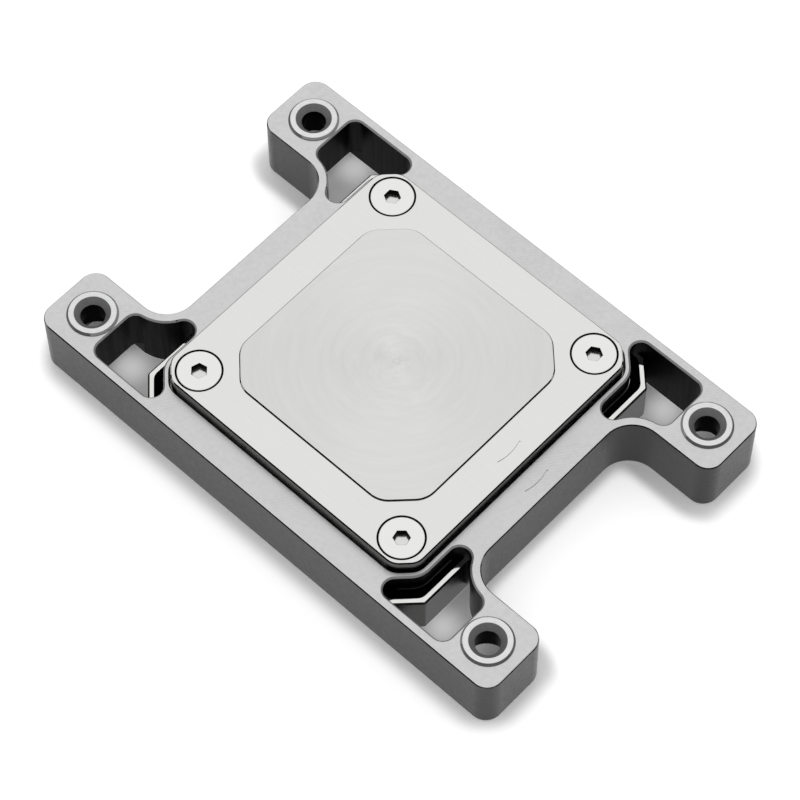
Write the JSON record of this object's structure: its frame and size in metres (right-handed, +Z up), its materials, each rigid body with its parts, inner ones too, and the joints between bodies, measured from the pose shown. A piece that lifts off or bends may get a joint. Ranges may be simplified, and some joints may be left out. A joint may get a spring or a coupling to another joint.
{
  "type": "cpu water block",
  "caption": "Square nickel-plated cold plate on a flanged body, held in an H-shaped aluminium mounting frame with a bored boss on each ear; cools a processor with liquid.",
  "frame": {"origin": "middle of the underside, where the block rests with its cold plate up", "axes": "+X along the long side of the mounting frame, +Y along its short side, +Z up out of the cold plate's contact pad"},
  "size_m": [0.1028, 0.068, 0.0149],
  "materials": {
    "frame_aluminium": "finely milled, satin",
    "plate_nickel": "bright nickel plate over copper, pad turned",
    "body_nickel": "polished nickel plate over brass",
    "insert_acetal": "machined",
    "jet_steel": "plain rolled sheet",
    "seal_rubber": "matt",
    "screw_steel": "finely turned"
  },
  "bodies": {
    "root": {"mounting_frame": "frame_aluminium", "cold_plate": "plate_nickel", "top_body": "body_nickel", "flow_insert": "insert_acetal", "jet_plate": "jet_steel", "main_o_ring": "seal_rubber", "inlet_o_ring": "seal_rubber", "cold_plate_screw_a": "screw_steel", "cold_plate_screw_b": "screw_steel", "cold_plate_screw_c": "screw_steel", "cold_plate_screw_d": "screw_steel"}
  },
  "joints": []
}
